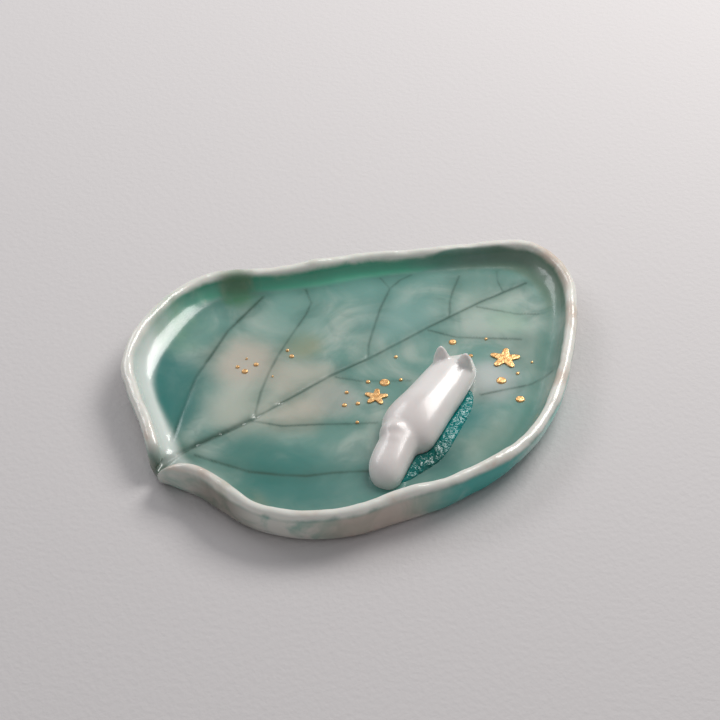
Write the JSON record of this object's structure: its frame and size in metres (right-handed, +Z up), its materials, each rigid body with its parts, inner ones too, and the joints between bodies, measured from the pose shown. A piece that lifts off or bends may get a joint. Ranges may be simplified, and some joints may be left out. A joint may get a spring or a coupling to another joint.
{
  "type": "ring dish",
  "caption": "Leaf-shaped glazed ceramic ring dish with a turned-up rim, pressed veins, a small resting fox, a pool of glaze and raised gold stars and dots.",
  "frame": {"origin": "middle of the leaf's length and width, on the surface that the dish stands on", "axes": "+X from the stem notch to the tip along the midrib, +Z up, +Y towards the side away from the fox"},
  "size_m": [0.1216, 0.0969, 0.0121],
  "materials": {
    "glaze_teal": "gloss",
    "porcelain_white": "gloss",
    "glaze_pool": "gloss",
    "gold": "satin"
  },
  "bodies": {
    "root": {"leaf_dish": "glaze_teal", "fox_body": "porcelain_white", "fox_left_ear": "porcelain_white", "fox_right_ear": "porcelain_white", "fox_tail": "porcelain_white", "glaze_pool": "glaze_pool", "gold_large_star": "gold", "gold_small_star": "gold", "gold_dots_stem": "gold", "gold_dots_middle": "gold", "gold_dots_tip": "gold"}
  },
  "joints": []
}
